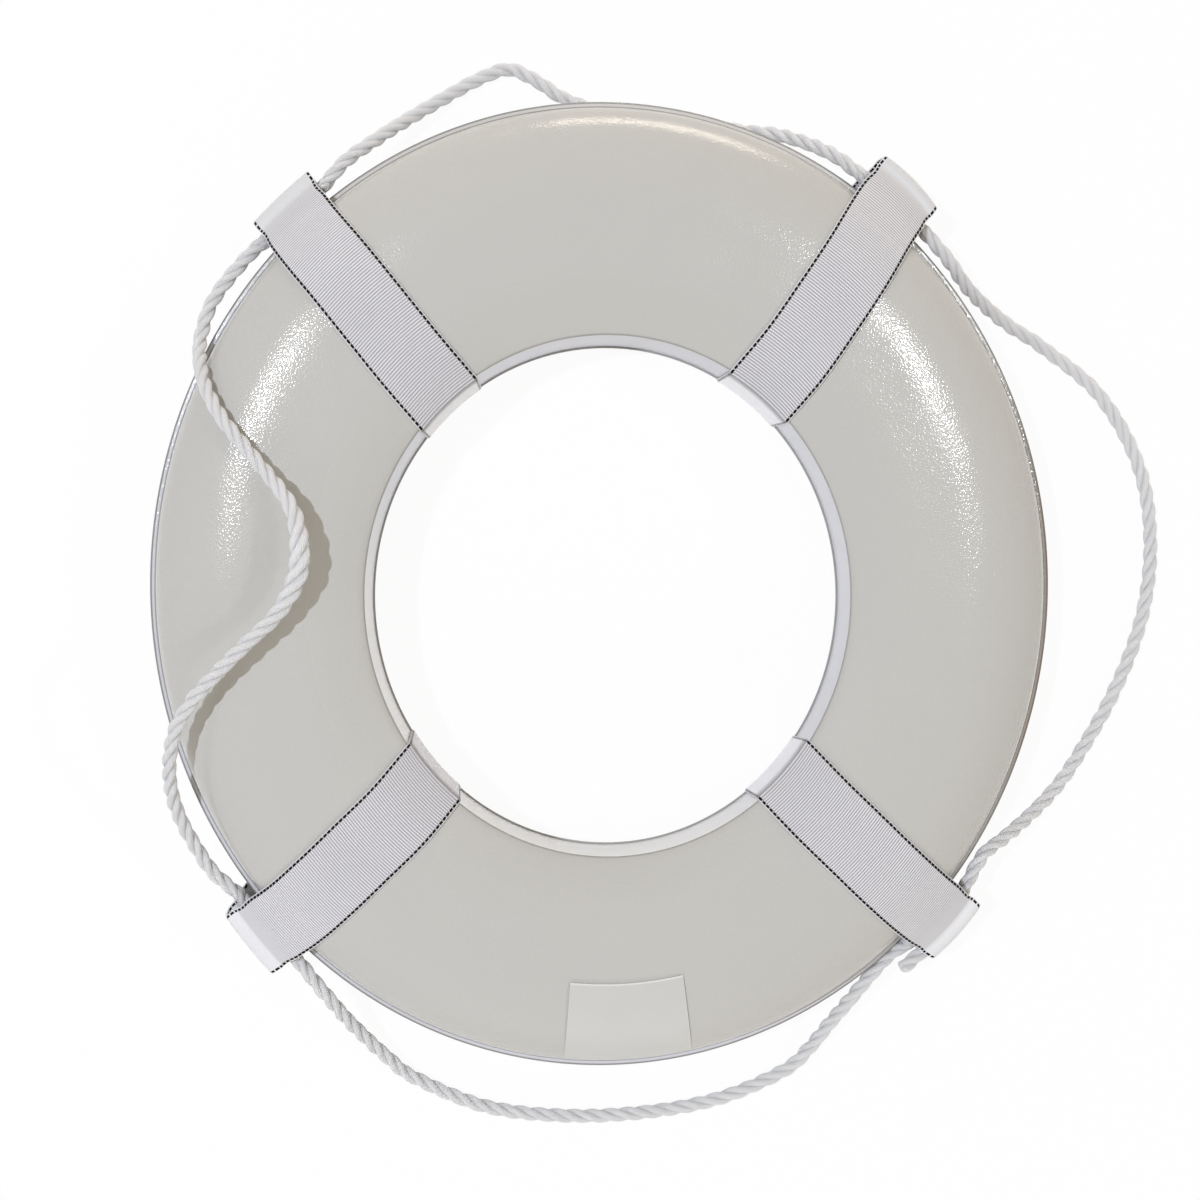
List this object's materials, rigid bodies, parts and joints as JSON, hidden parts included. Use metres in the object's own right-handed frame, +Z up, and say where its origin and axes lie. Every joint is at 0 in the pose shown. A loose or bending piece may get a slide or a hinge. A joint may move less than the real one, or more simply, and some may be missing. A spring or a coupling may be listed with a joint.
{
  "type": "life ring",
  "caption": "Throwable foam life ring covered in grained vinyl sheet, with webbing beckets that hold a twisted grab line round its rim.",
  "frame": {"origin": "on the surface the ring lies on, below the middle of the ring's outer rim", "axes": "+Z up along the ring's axis, front face up; +Y towards the picture's top, +X towards its right"},
  "size_m": [0.6712, 0.7132, 0.1155],
  "materials": {
    "foam": "closed-cell foam, fine matt skin",
    "cover_vinyl": "semi-gloss pebble-grained sheet",
    "bore_vinyl": "smooth semi-gloss sheet",
    "patch_vinyl": "smooth thin patch, bare",
    "webbing": "ribbed polypropylene webbing, black dashed tracer by each edge",
    "thread": "bonded sewing thread",
    "rope": "three-strand twisted polypropylene"
  },
  "bodies": {
    "ring": {"foam_core_front": "foam", "foam_core_middle": "foam", "foam_core_back": "foam", "vinyl_cover_front": "cover_vinyl", "vinyl_cover_back": "cover_vinyl", "vinyl_bore_band": "bore_vinyl", "label_patch": "patch_vinyl", "becket_top_left": "webbing", "becket_top_right": "webbing", "becket_bottom_left": "webbing", "becket_bottom_right": "webbing", "stitching_top_left": "thread", "stitching_top_right": "thread", "stitching_bottom_left": "thread", "stitching_bottom_right": "thread", "grab_line_left": "rope", "held_rope_top_left": "rope", "held_rope_top_right": "rope", "held_rope_bottom_left": "rope", "held_rope_bottom_right": "rope", "held_rope_tail": "rope"},
    "top_stretch": {"grab_line_top": "rope"},
    "right_stretch": {"grab_line_right": "rope"},
    "bottom_stretch": {"grab_line_bottom": "rope"}
  },
  "joints": [
    {"name": "top_stretch_lift", "type": "hinge", "parent": "ring", "child": "top_stretch", "pos_m": [-0.18013, 0.26037, 0.0452], "axis": [0.9998, 0.0187, 0], "range_deg": [0, 75]},
    {"name": "right_stretch_lift", "type": "hinge", "parent": "ring", "child": "right_stretch", "pos_m": [0.21228, 0.23081, 0.0452], "axis": [0.0659, -0.9978, 0], "range_deg": [0, 75]},
    {"name": "bottom_stretch_lift", "type": "hinge", "parent": "ring", "child": "bottom_stretch", "pos_m": [0.20183, -0.23536, 0.0452], "axis": [-0.9998, -0.0197, 0], "range_deg": [0, 75]}
  ]
}
